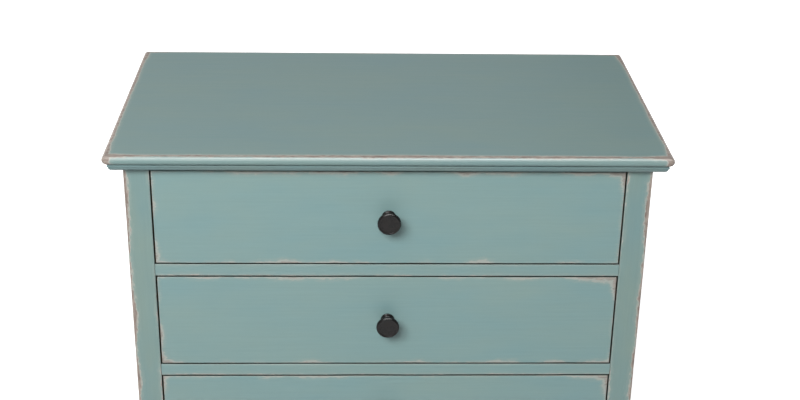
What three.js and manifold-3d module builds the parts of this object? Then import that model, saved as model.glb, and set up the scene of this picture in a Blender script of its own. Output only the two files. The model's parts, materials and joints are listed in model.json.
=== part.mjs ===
// A painted wooden chest of four drawers: post-and-rail case with panelled sides, an overhanging
// top with a rounded nosing on a small cornice, and dovetailed drawers with one round knob each.
// Units are millimetres. X runs left to right, -Y is the front, and Z is up from the floor.
// The origin is on the floor, under the middle of the whole chest, knobs included.
import * as THREE from "three";
import { mergeVertices } from "three/addons/utils/BufferGeometryUtils.js";
import Module from "manifold-3d";

// Overall sizes
const HEIGHT = 850;
const TOP_WIDTH = 815;
const TOP_DEPTH = 462;
const TOP_THICK = 13;
const NOSING_RADIUS = 6.3;
const TOP_CORNER = 8; // rounding of the front corners in plan
const CASE_WIDTH = 762;
const FRONT_OVERHANG = 22;
const BACK_OVERHANG = 6;

// Case joinery
const SEAM = 0.3; // the glue or dry gap between two pieces that touch
const POST = 37; // square posts, which run down to the floor as legs
const BOARD = 19; // rails and aprons
const CORNICE_HEIGHT = 10;
const CORNICE_REACH = 18.6; // at its upper fillet
const CORNICE_FOOT = 11; // at its lower edge
const OVOLO_TOP = 6.8; // the quarter round below the fillet
const FILLET_STEP = 1.2;
const TENON = 12; // length of every tenon
const TOP_RAIL_SHOWS = 4.2; // strip of the top rail seen under the cornice
const SIDE_RAIL_HEIGHT = 60;
const REAR_RAIL_HEIGHT = 50;
const SIDE_APRON_TOP = 176;
const APRON_DEPTH = 54; // at the middle of the front apron
const APRON_BRACKET = 26; // how much deeper an apron is at its ends
const BRACKET_FLAT = 30; // level length of that deeper end
const BRACKET_CURVE = 75; // length of the curve up to the middle
const PANEL_THICK = 8;
const PANEL_INSET = 5.5; // behind the outer face of the posts
const PANEL_GROOVE = 7;
const BACK_THICK = 6;
const BACK_REBATE = 10;
const BACK_BOTTOM = 138;
const BACK_TOP = 831;
const RUNNER_INNER = 320; // half the distance between two runners
const GUIDE_HEIGHT = 25; // of the strip that keeps a drawer straight
const STOP_DEPTH = 4.2; // the block behind a closed drawer
const STOP_HEIGHT = 20;
const STOP_GAP = 0.5; // between that block and the drawer

// Drawers
const DRAWER_COUNT = 4;
const FRONT_HEIGHT = 147.8;
const REVEAL = 2.2; // the gap round a drawer front
const SIDE_PLAY = 0.4; // a drawer's box is this much narrower than its front, on each side
const SIDE_THICK = 11;
const SIDE_DROP = REVEAL - SEAM; // a drawer side stands this far below its front, on the runner
const SIDE_TOP = 140;
const BACK_INSET = 20; // from a drawer's rear end to the front face of its back
const BACK_HOUSING = 4; // depth of the slot that holds it
const BACK_BOARD_TOP = 134;
const BOTTOM_THICK = 6;
const BOTTOM_FROM = 8; // underside of the drawer bottom, above the front's lower edge
const BOTTOM_GROOVE = 5;
const TAILS = 4;
const TAIL_LENGTH = 12;
const TAIL_ROOT = 18;
const TAIL_TIP = 22;

// Knobs
const KNOB_SIDES = 32;
const KNOB_HEIGHT = 76; // of its centre above the front's lower edge
const KNOB_PROJECTION = 28;
const KNOB_RADIUS = 17.2;
const KNOB_BORE_RADIUS = 2.3;
const KNOB_BORE_DEPTH = 12;
const SCREW_SIDES = 16;
const SCREW_RADIUS = 1.9;
const SCREW_HEAD_RADIUS = 4.5;
const SCREW_HEAD_HEIGHT = 2.7;
const SCREW_REACH = 11; // into the knob
const SCREW_HOLE_RADIUS = 2.4;

// Places worked out from the sizes
const TOP_BACK_Y = (TOP_DEPTH + KNOB_PROJECTION - FRONT_OVERHANG) / 2;
const TOP_FRONT_Y = TOP_BACK_Y - TOP_DEPTH;
const FRONT_Y = TOP_FRONT_Y + FRONT_OVERHANG;
const BACK_Y = TOP_BACK_Y - BACK_OVERHANG;
const CASE_X = CASE_WIDTH / 2;
const OPEN_X = CASE_X - POST;
const RAIL_X = CASE_X - BOARD; // inner face of the side rails
const CORNICE_BOTTOM = HEIGHT - TOP_THICK - CORNICE_HEIGHT;
const CASE_TOP = HEIGHT - TOP_THICK - SEAM;
const TOP_RAIL_BOTTOM = CORNICE_BOTTOM - TOP_RAIL_SHOWS;
const DRAWER_PITCH = FRONT_HEIGHT + BOARD + 2 * REVEAL;
const APRON_TOP = TOP_RAIL_BOTTOM - DRAWER_COUNT * DRAWER_PITCH + BOARD;
const BETWEEN_FRONT = FRONT_Y + POST; // rear face of the front posts
const BETWEEN_BACK = BACK_Y - POST; // front face of the rear posts
const DRAWER_DEPTH = BETWEEN_BACK - SEAM - STOP_DEPTH - STOP_GAP - FRONT_Y;
const BACK_FROM = DRAWER_DEPTH - BACK_INSET;
const railBottom = (n) => TOP_RAIL_BOTTOM - n * DRAWER_PITCH;
const SIDES = { left: -1, right: 1 };

const wasm = await Module();
wasm.setup();

// A closed three.js geometry as a solid that can be cut and joined.
function solid(geometry) {
  const bare = geometry.clone();
  bare.deleteAttribute("normal");
  bare.deleteAttribute("uv");
  const merged = mergeVertices(bare, 1e-4);
  return new wasm.Manifold(
    new wasm.Mesh({
      numProp: 3,
      vertProperties: merged.attributes.position.array,
      triVerts: new Uint32Array(merged.index.array),
    }),
  );
}

// A solid as a named, faceted mesh.
function mesh(name, shape, material) {
  const { numProp, numVert, vertProperties, triVerts } = shape.getMesh();
  const points = new Float32Array(numVert * 3);
  for (let i = 0; i < numVert; i++) {
    points.set(vertProperties.subarray(i * numProp, i * numProp + 3), i * 3);
  }
  const geometry = new THREE.BufferGeometry()
    .setAttribute("position", new THREE.BufferAttribute(points, 3))
    .setIndex(new THREE.BufferAttribute(new Uint32Array(triVerts), 1))
    .toNonIndexed();
  geometry.computeVertexNormals();
  const made = new THREE.Mesh(geometry, material);
  made.name = name;
  return made;
}

// A block from three [low, high] spans, and the same block with room round it.
function block([x, y, z], room = 0) {
  const size = [x, y, z].map(([low, high]) => high - low + 2 * room);
  const middle = [x, y, z].map(([low, high]) => (low + high) / 2);
  return solid(new THREE.BoxGeometry(...size).translate(...middle));
}

// The span between two values given in either order.
const span = (a, b) => [Math.min(a, b), Math.max(a, b)];

const UP = new THREE.Vector3(0, 0, 1);
const ACROSS = new THREE.Vector3(1, 0, 0);
const BACKWARD = new THREE.Vector3(0, 1, 0);
const FORWARD = new THREE.Vector3(0, -1, 0);

// An outline in (x, z) given depth from y towards the front.
function alongY(outline, rear, depth, segments = 8) {
  const geometry = new THREE.ExtrudeGeometry(outline, {
    depth,
    bevelEnabled: false,
    curveSegments: segments,
  });
  const turn = new THREE.Matrix4().makeBasis(ACROSS, UP, FORWARD);
  return solid(geometry.applyMatrix4(turn).translate(0, rear, 0));
}

// An outline in (y, z) given width from x to the right.
function alongX(outline, left, width, segments = 8) {
  const geometry = new THREE.ExtrudeGeometry(outline, {
    depth: width,
    bevelEnabled: false,
    curveSegments: segments,
  });
  const turn = new THREE.Matrix4().makeBasis(BACKWARD, UP, ACROSS);
  return solid(geometry.applyMatrix4(turn).translate(left, 0, 0));
}

// A turned piece whose axis points forward, from (radius, distance forward) points.
function turned(profile, sides) {
  const points = profile.map(([radius, out]) => new THREE.Vector2(radius, out));
  return solid(new THREE.LatheGeometry(points, sides).rotateX(Math.PI));
}

const polygon = (points) =>
  new THREE.Shape(points.map(([u, v]) => new THREE.Vector2(u, v)));

const finish = (color, roughness, metalness = 0) =>
  new THREE.MeshStandardMaterial({ color, roughness, metalness });

const paint = finish(0x86a3a5, 0.6);
const topPaint = finish(0x84908d, 0.5);
const frontPaint = finish(0x8aa9aa, 0.6);
const bareWood = finish(0xb08a5e, 0.8);
const drawerWood = finish(0xc9a877, 0.75);
const plywood = finish(0xb99a70, 0.8);
const darkMetal = finish(0x2b2725, 0.35, 0.8);
const steel = finish(0x8f8f8c, 0.4, 1);

// ---- The frame of the case ----

// Tenons: each function gives the block of wood that a rail pushes into a post.
const frontTenon = (side, low, high) => [
  span(side * (OPEN_X - SEAM), side * (OPEN_X + TENON)),
  [FRONT_Y + 8, FRONT_Y + POST - 8],
  [low, high],
];
const apronTenon = (side) => [
  span(side * (OPEN_X - SEAM), side * (OPEN_X + TENON)),
  [FRONT_Y + 5, FRONT_Y + BOARD - 5],
  [APRON_TOP - APRON_DEPTH, APRON_TOP - 8],
];
const rearTenon = (side, low, high) => [
  span(side * (OPEN_X - SEAM), side * (OPEN_X + TENON)),
  [BACK_Y - BACK_THICK - 15, BACK_Y - BACK_THICK - 6],
  [low, high],
];
const sideTenon = (side, end, low, high) => [
  span(side * (RAIL_X + 3), side * (RAIL_X + 8)),
  end === "front"
    ? [BETWEEN_FRONT - TENON, BETWEEN_FRONT + SEAM]
    : [BETWEEN_BACK - SEAM, BETWEEN_BACK + TENON],
  [low, high],
];

const TOP_RAIL_TENON = [TOP_RAIL_BOTTOM + 3, CASE_TOP - 3];
const SIDE_RAIL_TENON = [CASE_TOP - SIDE_RAIL_HEIGHT + 12, CASE_TOP - 12];
const SIDE_APRON_TENON = [SIDE_APRON_TOP - 60, SIDE_APRON_TOP - 12];
const REAR_RAIL_BOTTOMS = {
  top: CASE_TOP - REAR_RAIL_HEIGHT,
  bottom: BACK_BOTTOM,
};

const railTenon = (n) => [railBottom(n) + 5, railBottom(n) + BOARD - 5];
const rearRailTenon = (low) => [low + 8, low + REAR_RAIL_HEIGHT - 8];

// The panel's plane, and its edges inside the grooves.
const panelX = (side) =>
  span(side * (CASE_X - PANEL_INSET), side * (CASE_X - PANEL_INSET - PANEL_THICK));
const PANEL_Y = [
  BETWEEN_FRONT - PANEL_GROOVE + 2 * SEAM,
  BETWEEN_BACK + PANEL_GROOVE - 2 * SEAM,
];
const PANEL_Z = [
  SIDE_APRON_TOP - PANEL_GROOVE + 2 * SEAM,
  CASE_TOP - SIDE_RAIL_HEIGHT + PANEL_GROOVE - 2 * SEAM,
];
const panelBlock = (side) => [panelX(side), PANEL_Y, PANEL_Z];

function post(end, side) {
  const y = end === "front" ? [FRONT_Y, FRONT_Y + POST] : [BACK_Y - POST, BACK_Y];
  let body = block([span(side * OPEN_X, side * CASE_X), y, [0, CASE_TOP]]);
  const mortises = [
    sideTenon(side, end, ...SIDE_RAIL_TENON),
    sideTenon(side, end, ...SIDE_APRON_TENON),
    panelBlock(side),
  ];
  if (end === "front") {
    mortises.push(frontTenon(side, ...TOP_RAIL_TENON), apronTenon(side));
    for (let n = 1; n < DRAWER_COUNT; n++) {
      mortises.push(frontTenon(side, ...railTenon(n)));
    }
  } else {
    for (const low of Object.values(REAR_RAIL_BOTTOMS)) {
      mortises.push(rearTenon(side, ...rearRailTenon(low)));
    }
    mortises.push([
      span(side * (OPEN_X - 1), side * (OPEN_X + BACK_REBATE)),
      [BACK_Y - BACK_THICK, BACK_Y + 1],
      [BACK_BOTTOM, CASE_TOP + 1],
    ]);
  }
  for (const mortise of mortises) {
    body = body.subtract(block(mortise, SEAM));
  }
  return body;
}

// A rail across the front: full post depth, so that it carries the drawers' fronts.
function frontRail(low, high, tenon) {
  let body = block([
    [-OPEN_X + SEAM, OPEN_X - SEAM],
    [FRONT_Y, FRONT_Y + POST],
    [low, high],
  ]);
  for (const side of Object.values(SIDES)) {
    body = body.add(block(frontTenon(side, ...tenon)));
  }
  return body;
}

function rearRail(low) {
  let body = block([
    [-OPEN_X + SEAM, OPEN_X - SEAM],
    [BACK_Y - BACK_THICK - BOARD - SEAM, BACK_Y - BACK_THICK - SEAM],
    [low, low + REAR_RAIL_HEIGHT],
  ]);
  for (const side of Object.values(SIDES)) {
    body = body.add(block(rearTenon(side, ...rearRailTenon(low))));
  }
  return body;
}

// The outline of an apron between u = from and u = to: deep brackets at both ends, joined to the
// shallower middle by an ogee.
function apronOutline(from, to, top, middle) {
  const low = middle - APRON_BRACKET;
  const outline = new THREE.Shape();
  outline.moveTo(from, top);
  outline.lineTo(from, low);
  outline.lineTo(from + BRACKET_FLAT, low);
  const rise = from + BRACKET_FLAT;
  outline.bezierCurveTo(
    rise + BRACKET_CURVE / 2, low,
    rise + BRACKET_CURVE / 4, middle,
    rise + BRACKET_CURVE, middle,
  );
  const fall = to - BRACKET_FLAT;
  outline.lineTo(fall - BRACKET_CURVE, middle);
  outline.bezierCurveTo(
    fall - BRACKET_CURVE / 4, middle,
    fall - BRACKET_CURVE / 2, low,
    fall, low,
  );
  outline.lineTo(to, low);
  outline.lineTo(to, top);
  outline.closePath();
  return outline;
}

function frontApron() {
  const outline = apronOutline(
    -OPEN_X + SEAM,
    OPEN_X - SEAM,
    APRON_TOP,
    APRON_TOP - APRON_DEPTH,
  );
  let body = alongY(outline, FRONT_Y + BOARD, BOARD);
  for (const side of Object.values(SIDES)) {
    body = body.add(block(apronTenon(side)));
  }
  return body;
}

function sideApron(side) {
  const outline = apronOutline(
    BETWEEN_FRONT + SEAM,
    BETWEEN_BACK - SEAM,
    SIDE_APRON_TOP,
    APRON_TOP - APRON_DEPTH,
  );
  let body = alongX(outline, side > 0 ? RAIL_X : -CASE_X, BOARD);
  for (const end of ["front", "rear"]) {
    body = body.add(block(sideTenon(side, end, ...SIDE_APRON_TENON)));
  }
  return body.subtract(block(panelBlock(side), SEAM));
}

function sideRail(side) {
  let body = block([
    span(side * RAIL_X, side * CASE_X),
    [BETWEEN_FRONT + SEAM, BETWEEN_BACK - SEAM],
    [CASE_TOP - SIDE_RAIL_HEIGHT, CASE_TOP],
  ]);
  for (const end of ["front", "rear"]) {
    body = body.add(block(sideTenon(side, end, ...SIDE_RAIL_TENON)));
  }
  return body.subtract(block(panelBlock(side), SEAM));
}

const backPanel = () =>
  block([
    [-OPEN_X - BACK_REBATE + SEAM, OPEN_X + BACK_REBATE - SEAM],
    [BACK_Y - BACK_THICK, BACK_Y],
    [BACK_BOTTOM + SEAM, BACK_TOP],
  ]);

// A runner with its guide strip, and the stop block glued on its rear end.
function runner(side, n) {
  const low = railBottom(n);
  const outer = RAIL_X - SEAM;
  const outline = polygon([
    [side * RUNNER_INNER, low],
    [side * outer, low],
    [side * outer, low + BOARD + GUIDE_HEIGHT],
    [side * OPEN_X, low + BOARD + GUIDE_HEIGHT],
    [side * OPEN_X, low + BOARD],
    [side * RUNNER_INNER, low + BOARD],
  ]);
  const rear = BETWEEN_BACK - SEAM;
  const stop = block([
    span(side * (RUNNER_INNER + 2), side * (OPEN_X + 2)),
    [rear - STOP_DEPTH, rear],
    [low + BOARD - 1, low + BOARD + STOP_HEIGHT],
  ]);
  return alongY(outline, rear, rear - BETWEEN_FRONT - SEAM).add(stop);
}

// A strip above the top drawer's side, which keeps the pulled drawer from tipping.
const kicker = (side) =>
  block([
    span(side * RUNNER_INNER, side * (RAIL_X - SEAM)),
    [BETWEEN_FRONT + SEAM, BETWEEN_BACK - SEAM],
    [TOP_RAIL_BOTTOM, CASE_TOP],
  ]);

// ---- The top and its cornice ----

// The slab is rounded on all four edges when it is extruded, and the rear one is cut square.
function topPanel() {
  const rear = TOP_BACK_Y + 2 * NOSING_RADIUS;
  const half = TOP_WIDTH / 2;
  const inner = half - TOP_CORNER;
  const corner = TOP_FRONT_Y + TOP_CORNER;
  const outline = new THREE.Shape();
  outline.moveTo(-half, rear);
  outline.lineTo(-half, corner);
  outline.absarc(-inner, corner, TOP_CORNER, Math.PI, 1.5 * Math.PI);
  outline.absarc(inner, corner, TOP_CORNER, 1.5 * Math.PI, 2 * Math.PI);
  outline.lineTo(half, rear);
  outline.closePath();
  const slab = new THREE.ExtrudeGeometry(outline, {
    depth: TOP_THICK - 2 * NOSING_RADIUS,
    bevelThickness: NOSING_RADIUS,
    bevelSize: NOSING_RADIUS,
    bevelOffset: -NOSING_RADIUS,
    bevelSegments: 6,
    curveSegments: 8,
  }).translate(0, 0, HEIGHT - TOP_THICK + NOSING_RADIUS);
  const behind = block([
    [-TOP_WIDTH, TOP_WIDTH],
    [TOP_BACK_Y, TOP_DEPTH],
    [0, 2 * HEIGHT],
  ]);
  return solid(slab).subtract(behind);
}

// The cornice's section as (reach from the case, height above the cornice's foot): a quarter
// round under a fillet.
function corniceSection() {
  const round = CORNICE_REACH - FILLET_STEP - CORNICE_FOOT;
  const section = new THREE.Shape();
  section.moveTo(0, 0);
  section.lineTo(CORNICE_FOOT, 0);
  section.absellipse(CORNICE_FOOT, OVOLO_TOP, round, OVOLO_TOP, -Math.PI / 2, 0);
  section.lineTo(CORNICE_REACH, OVOLO_TOP);
  section.lineTo(CORNICE_REACH, CORNICE_HEIGHT - SEAM);
  section.lineTo(0, CORNICE_HEIGHT - SEAM);
  section.closePath();
  return section;
}

// Everything beyond a mitre plane through a front corner; the plane's normal has this angle.
function beyondMitre(side, angle) {
  const size = 1000;
  const away = new THREE.BoxGeometry(size, size, size)
    .translate(size / 2 - SEAM / 2, 0, 0)
    .rotateZ(THREE.MathUtils.degToRad(angle))
    .translate(side * (CASE_X + SEAM), FRONT_Y - SEAM, CORNICE_BOTTOM);
  return solid(away);
}

// The section stands in (reach, height), and a turn about Z faces it outwards.
function corniceRun(length, angle, place) {
  const geometry = new THREE.ExtrudeGeometry(corniceSection(), {
    depth: length,
    bevelEnabled: false,
    curveSegments: 6,
  });
  const stand = new THREE.Matrix4().makeBasis(ACROSS, UP, FORWARD);
  return solid(
    geometry
      .applyMatrix4(stand)
      .rotateZ(THREE.MathUtils.degToRad(angle))
      .translate(...place),
  );
}

function frontCornice() {
  const half = CASE_X + CORNICE_REACH + 1;
  return corniceRun(2 * half, -90, [half, FRONT_Y - SEAM, CORNICE_BOTTOM])
    .subtract(beyondMitre(SIDES.left, 135))
    .subtract(beyondMitre(SIDES.right, 45));
}

function sideCornice(side) {
  const length = BACK_Y - FRONT_Y + CORNICE_REACH + 1;
  const place = [side * (CASE_X + SEAM), BACK_Y, CORNICE_BOTTOM];
  const run =
    side > 0
      ? corniceRun(length, 0, place)
      : corniceRun(length, 180, [place[0], BACK_Y - length, CORNICE_BOTTOM]);
  return run.subtract(beyondMitre(side, side > 0 ? -135 : -45));
}

// ---- A drawer, with y = 0 at the face of its front and z = 0 at the front's lower edge ----

const HALF_FRONT = OPEN_X - REVEAL;
const HALF_BOX = HALF_FRONT - SIDE_PLAY;
const INSIDE_X = HALF_BOX - SIDE_THICK;
const SIDE_HEIGHT = SIDE_TOP + SIDE_DROP;
const BOTTOM_BLOCK = [
  [-INSIDE_X - BOTTOM_GROOVE + SEAM, INSIDE_X + BOTTOM_GROOVE - SEAM],
  [BOARD - BOTTOM_GROOVE + SEAM, DRAWER_DEPTH - 2],
  [BOTTOM_FROM, BOTTOM_FROM + BOTTOM_THICK],
];
const BACK_BLOCK = [
  [-INSIDE_X - BACK_HOUSING + SEAM, INSIDE_X + BACK_HOUSING - SEAM],
  [BACK_FROM, BACK_FROM + SIDE_THICK],
  [BOTTOM_FROM + BOTTOM_THICK + SEAM, BACK_BOARD_TOP],
];

// The four corners of one dovetail in (y, z), with room round it.
function tail(n, room = 0) {
  const middle = -SIDE_DROP + ((n + 0.5) * SIDE_HEIGHT) / TAILS;
  const root = TAIL_ROOT / 2 + room;
  const tip = TAIL_TIP / 2 + room;
  return [
    [BOARD + SEAM, middle - root],
    [BOARD - TAIL_LENGTH - room, middle - tip],
    [BOARD - TAIL_LENGTH - room, middle + tip],
    [BOARD + SEAM, middle + root],
  ];
}

function drawerSide(side) {
  const outline = [[BOARD + SEAM, -SIDE_DROP]];
  for (let n = 0; n < TAILS; n++) {
    outline.push(...tail(n));
  }
  outline.push([BOARD + SEAM, SIDE_TOP]);
  outline.push([DRAWER_DEPTH, SIDE_TOP]);
  outline.push([DRAWER_DEPTH, -SIDE_DROP]);
  outline.reverse();
  const board = alongX(polygon(outline), side > 0 ? INSIDE_X : -HALF_BOX, SIDE_THICK);
  return board
    .subtract(block(BOTTOM_BLOCK, SEAM))
    .subtract(block([BACK_BLOCK[0], BACK_BLOCK[1], [BACK_BLOCK[2][0], SIDE_TOP]], SEAM));
}

function drawerFront() {
  let board = block([
    [-HALF_FRONT, HALF_FRONT],
    [0, BOARD],
    [0, FRONT_HEIGHT],
  ]);
  for (const side of Object.values(SIDES)) {
    const inner = INSIDE_X - SEAM;
    for (let n = 0; n < TAILS; n++) {
      const socket = polygon(tail(n, SEAM).reverse());
      const width = HALF_FRONT - inner + 1;
      board = board.subtract(alongX(socket, side > 0 ? inner : -inner - width, width));
    }
  }
  const hole = turned(
    [
      [0, -BOARD - 1],
      [SCREW_HOLE_RADIUS, -BOARD - 1],
      [SCREW_HOLE_RADIUS, 1],
      [0, 1],
    ],
    SCREW_SIDES,
  ).translate([0, 0, KNOB_HEIGHT]);
  return board.subtract(block(BOTTOM_BLOCK, SEAM)).subtract(hole);
}

// A flat, slightly domed disc on a short neck, with a round flange against the drawer front.
function knob() {
  const body = turned(
    [
      [0, SEAM],
      [10.5, SEAM],
      [10.5, 2],
      [8.4, 3.4],
      [7.2, 4.4],
      [6.2, 8],
      [6.6, 14],
      [9.5, 18.6],
      [15, 20.8],
      [KNOB_RADIUS, 22.8],
      [KNOB_RADIUS - 0.1, 25.2],
      [15.9, 27.2],
      [14.8, KNOB_PROJECTION],
      [0, KNOB_PROJECTION],
    ],
    KNOB_SIDES,
  );
  const bore = turned(
    [
      [0, -1],
      [KNOB_BORE_RADIUS, -1],
      [KNOB_BORE_RADIUS, KNOB_BORE_DEPTH],
      [0, KNOB_BORE_DEPTH],
    ],
    SCREW_SIDES,
  );
  return body.subtract(bore);
}

// A round-headed machine screw from inside the drawer.
const knobScrew = () =>
  turned(
    [
      [0, -BOARD - SEAM - SCREW_HEAD_HEIGHT],
      [SCREW_HEAD_RADIUS - 1.5, -BOARD - SEAM - SCREW_HEAD_HEIGHT],
      [SCREW_HEAD_RADIUS, -BOARD - SEAM - 1],
      [SCREW_HEAD_RADIUS, -BOARD - SEAM],
      [SCREW_RADIUS, -BOARD - SEAM],
      [SCREW_RADIUS, SCREW_REACH],
      [0, SCREW_REACH],
    ],
    SCREW_SIDES,
  );

function drawer(n) {
  const name = "drawer_" + n;
  const group = new THREE.Group();
  group.add(mesh(name + "_front", drawerFront(), frontPaint));
  for (const [word, side] of Object.entries(SIDES)) {
    group.add(mesh(name + "_side_" + word, drawerSide(side), drawerWood));
  }
  group.add(mesh(name + "_back", block(BACK_BLOCK), drawerWood));
  group.add(mesh(name + "_bottom", block(BOTTOM_BLOCK), plywood));
  const handle = new THREE.Group();
  handle.add(mesh(name + "_knob", knob(), darkMetal));
  handle.add(mesh(name + "_knob_screw", knobScrew(), steel));
  handle.position.z = KNOB_HEIGHT;
  group.add(handle);
  group.position.set(0, FRONT_Y, railBottom(n) + BOARD + REVEAL);
  return group;
}

// ---- The whole chest ----

const chest = new THREE.Group();
const carcass = new THREE.Group();
chest.add(carcass);

carcass.add(mesh("top_panel", topPanel(), topPaint));
carcass.add(mesh("cornice_front", frontCornice(), paint));
carcass.add(
  mesh(
    "front_rail_top",
    frontRail(TOP_RAIL_BOTTOM, CASE_TOP, TOP_RAIL_TENON),
    paint,
  ),
);
for (let n = 1; n < DRAWER_COUNT; n++) {
  const rail = frontRail(railBottom(n), railBottom(n) + BOARD, railTenon(n));
  carcass.add(mesh("front_rail_" + n, rail, paint));
}
carcass.add(mesh("apron_front", frontApron(), paint));
carcass.add(mesh("back_panel", backPanel(), plywood));
for (const [word, low] of Object.entries(REAR_RAIL_BOTTOMS)) {
  carcass.add(mesh("rear_rail_" + word, rearRail(low), bareWood));
}
for (const [word, side] of Object.entries(SIDES)) {
  carcass.add(mesh("cornice_" + word, sideCornice(side), paint));
  carcass.add(mesh("post_front_" + word, post("front", side), paint));
  carcass.add(mesh("post_rear_" + word, post("rear", side), paint));
  carcass.add(mesh("side_panel_" + word, block(panelBlock(side)), paint));
  carcass.add(mesh("side_rail_top_" + word, sideRail(side), paint));
  carcass.add(mesh("side_apron_" + word, sideApron(side), paint));
  carcass.add(mesh("kicker_" + word, kicker(side), bareWood));
  for (let n = 1; n <= DRAWER_COUNT; n++) {
    carcass.add(mesh("runner_" + n + "_" + word, runner(side, n), bareWood));
  }
}
for (let n = 1; n <= DRAWER_COUNT; n++) {
  chest.add(drawer(n));
}

export default chest;
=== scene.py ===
import json
import math

import bpy
from mathutils import Matrix, Vector, noise


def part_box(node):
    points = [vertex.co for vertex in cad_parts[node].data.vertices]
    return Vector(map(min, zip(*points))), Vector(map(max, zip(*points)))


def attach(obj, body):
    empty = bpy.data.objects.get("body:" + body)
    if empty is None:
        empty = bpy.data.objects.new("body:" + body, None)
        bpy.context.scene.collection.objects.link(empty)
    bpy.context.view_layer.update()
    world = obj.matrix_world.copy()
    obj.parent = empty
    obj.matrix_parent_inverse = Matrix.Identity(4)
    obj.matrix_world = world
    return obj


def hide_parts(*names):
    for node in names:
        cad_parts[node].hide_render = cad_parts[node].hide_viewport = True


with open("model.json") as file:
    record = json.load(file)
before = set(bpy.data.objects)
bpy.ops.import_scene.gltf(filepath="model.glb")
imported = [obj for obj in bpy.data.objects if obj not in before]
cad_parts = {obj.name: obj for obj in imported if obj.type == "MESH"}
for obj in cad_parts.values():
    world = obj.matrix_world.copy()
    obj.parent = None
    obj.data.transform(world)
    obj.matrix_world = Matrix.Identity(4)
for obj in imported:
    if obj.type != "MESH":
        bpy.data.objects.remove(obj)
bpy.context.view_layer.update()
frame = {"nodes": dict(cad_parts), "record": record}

# A painted, rubbed-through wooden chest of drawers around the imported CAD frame. Metres, +Z up,
# -Y is the front. The painted pieces and the knobs are made here: boards lofted with rounded,
# uneven arrises, which carry three UV maps in metres that tell the paint where their edges and
# their grain lie, and turned knobs. The bare wood inside shows as the CAD nodes themselves.

MM = 0.001
record = frame["record"]
BODY_OF = {node: body for body, nodes in record["behaviour"]["bodies"].items() for node in nodes}
SIDES = ("left", "right")
DRAWERS = (1, 2, 3, 4)

# Boards
ARC_STEPS = 4  # facets round an arris, an even number
STATION = 12 * MM  # between two sections of a board
ARRIS = 1.0 * MM  # least rounding of a board's long edge
FRONT_ARRIS = 0.7 * MM  # the same on a drawer front and a front rail
FRONT_END_ARRIS = 0.9 * MM  # rounding of a drawer front's two ends
JOINT_ARRIS = 0.3 * MM  # rounding of an end that meets another piece
RAIL_JOINT_ARRIS = 0.15 * MM  # the same on a front rail
ARRIS_WEAR = 1.6  # how much rounder rubbing makes an arris, at most, as a share
RUBS_PER_METRE = 13.0
NICKS_PER_METRE = 60.0
SHARP_FOLD = math.radians(38)  # a swept strip stays sharp where it folds more than this
JOINT_CLEARANCE = 0.05 * MM  # keeps a drawer front's faces off those of the CAD front

# Faces in the gaps round the drawers
SQUARE_ON = 0.97  # least part of a face's normal along an axis for it to face that way
TURNED_AWAY = 0.24  # a drawer front's face is in a gap where its normal's y is less than this

# Easing of the edges of CAD nodes that show
CAD_ARRIS = 0.5 * MM
PLYWOOD_ARRIS = 0.3 * MM
SCREW_ARRIS = 0.2 * MM
EASED_FOLD = math.radians(40)  # least fold that is eased

# Top
TOP_CORNER = 8 * MM  # rounding of the front corners in plan
TOP_LEAST_CORNER = 1.2 * MM
TOP_BACK_CORNER = 1.5 * MM
TOP_CORNER_STEPS = 6
TOP_BACK_ARRIS = 1.5 * MM
NOSE_STEPS = 16
TOP_DENT = 0.25 * MM  # how deep the nosing is worn in, at most
TOP_DENTS_PER_METRE = 25

# Cornice
CORNICE_FOOT = 11 * MM  # reach at its lower edge
OVOLO_TOP = 6.8 * MM
OVOLO_STEPS = 12
FILLET_STEP = 1.2 * MM
FILLET_ARRIS = 0.5 * MM
CORNICE_FRONT_STEPS = 60
CORNICE_SIDE_STEPS = 36

# Aprons: the bracket at each end, as in the CAD part
APRON_FLAT = 30 * MM
APRON_CURVE = 75 * MM
APRON_BRACKET = 26 * MM
APRON_STEPS = 16

# Guards: distances in metres added to the paint's distance from an edge, so that it is rubbed less
NO_WEAR = 1.0  # keeps an edge out of reach of any wear
JOINED_ENDS = (NO_WEAR, NO_WEAR)
POST_GUARD = 5 * MM  # on a post's two arrises on the drawers' side
RAIL_GUARDS = (0, 3 * MM, 3 * MM, 2 * MM)  # front lower, rear lower, rear upper, front upper arris
APRON_GUARDS = (0, 3 * MM, 3 * MM, 1 * MM)  # in the same order

# Knobs: (radius, distance forward) in mm. A point given twice is a corner or an end.
KNOB_KNOTS = (
    (0, 0.3), (0, 0.3), (10.3, 0.3), (10.3, 0.3), (10.5, 0.7), (10.4, 1.8), (9.6, 2.6),
    (8.2, 3.3), (7.3, 3.9), (6.7, 5.2), (6.2, 8.0), (6.3, 12.0), (7.2, 15.5), (9.6, 18.6),
    (12.8, 20.3), (15.7, 21.4), (17.0, 22.8), (17.2, 24.0), (17.0, 25.3), (16.4, 26.6),
    (15.6, 27.5), (14.7, 27.8), (13.9, 27.6), (13.0, 27.2), (9.0, 27.1), (4.0, 27.3),
    (0, 27.4), (0, 27.4),
)
KNOB_STEPS = 3  # between two knots
KNOB_SIDES = 96

# Places in the frame
post_low, post_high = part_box("post_front_left")
rear_low, rear_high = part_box("post_rear_left")
FRONT_Y = post_low.y
OPEN_X = -post_high.x  # half the clear width between the posts
SEAM = 0.3 * MM  # between two pieces, as in the CAD part
ACROSS = (-OPEN_X + SEAM, OPEN_X - SEAM)  # ends of what shows between the front posts
FRONT_TO_REAR = (post_high.y + SEAM, rear_low.y - SEAM)  # and between the posts of one side
CORNICE_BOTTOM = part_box("cornice_front")[0].z
APRON_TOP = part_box("apron_front")[1].z

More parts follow.
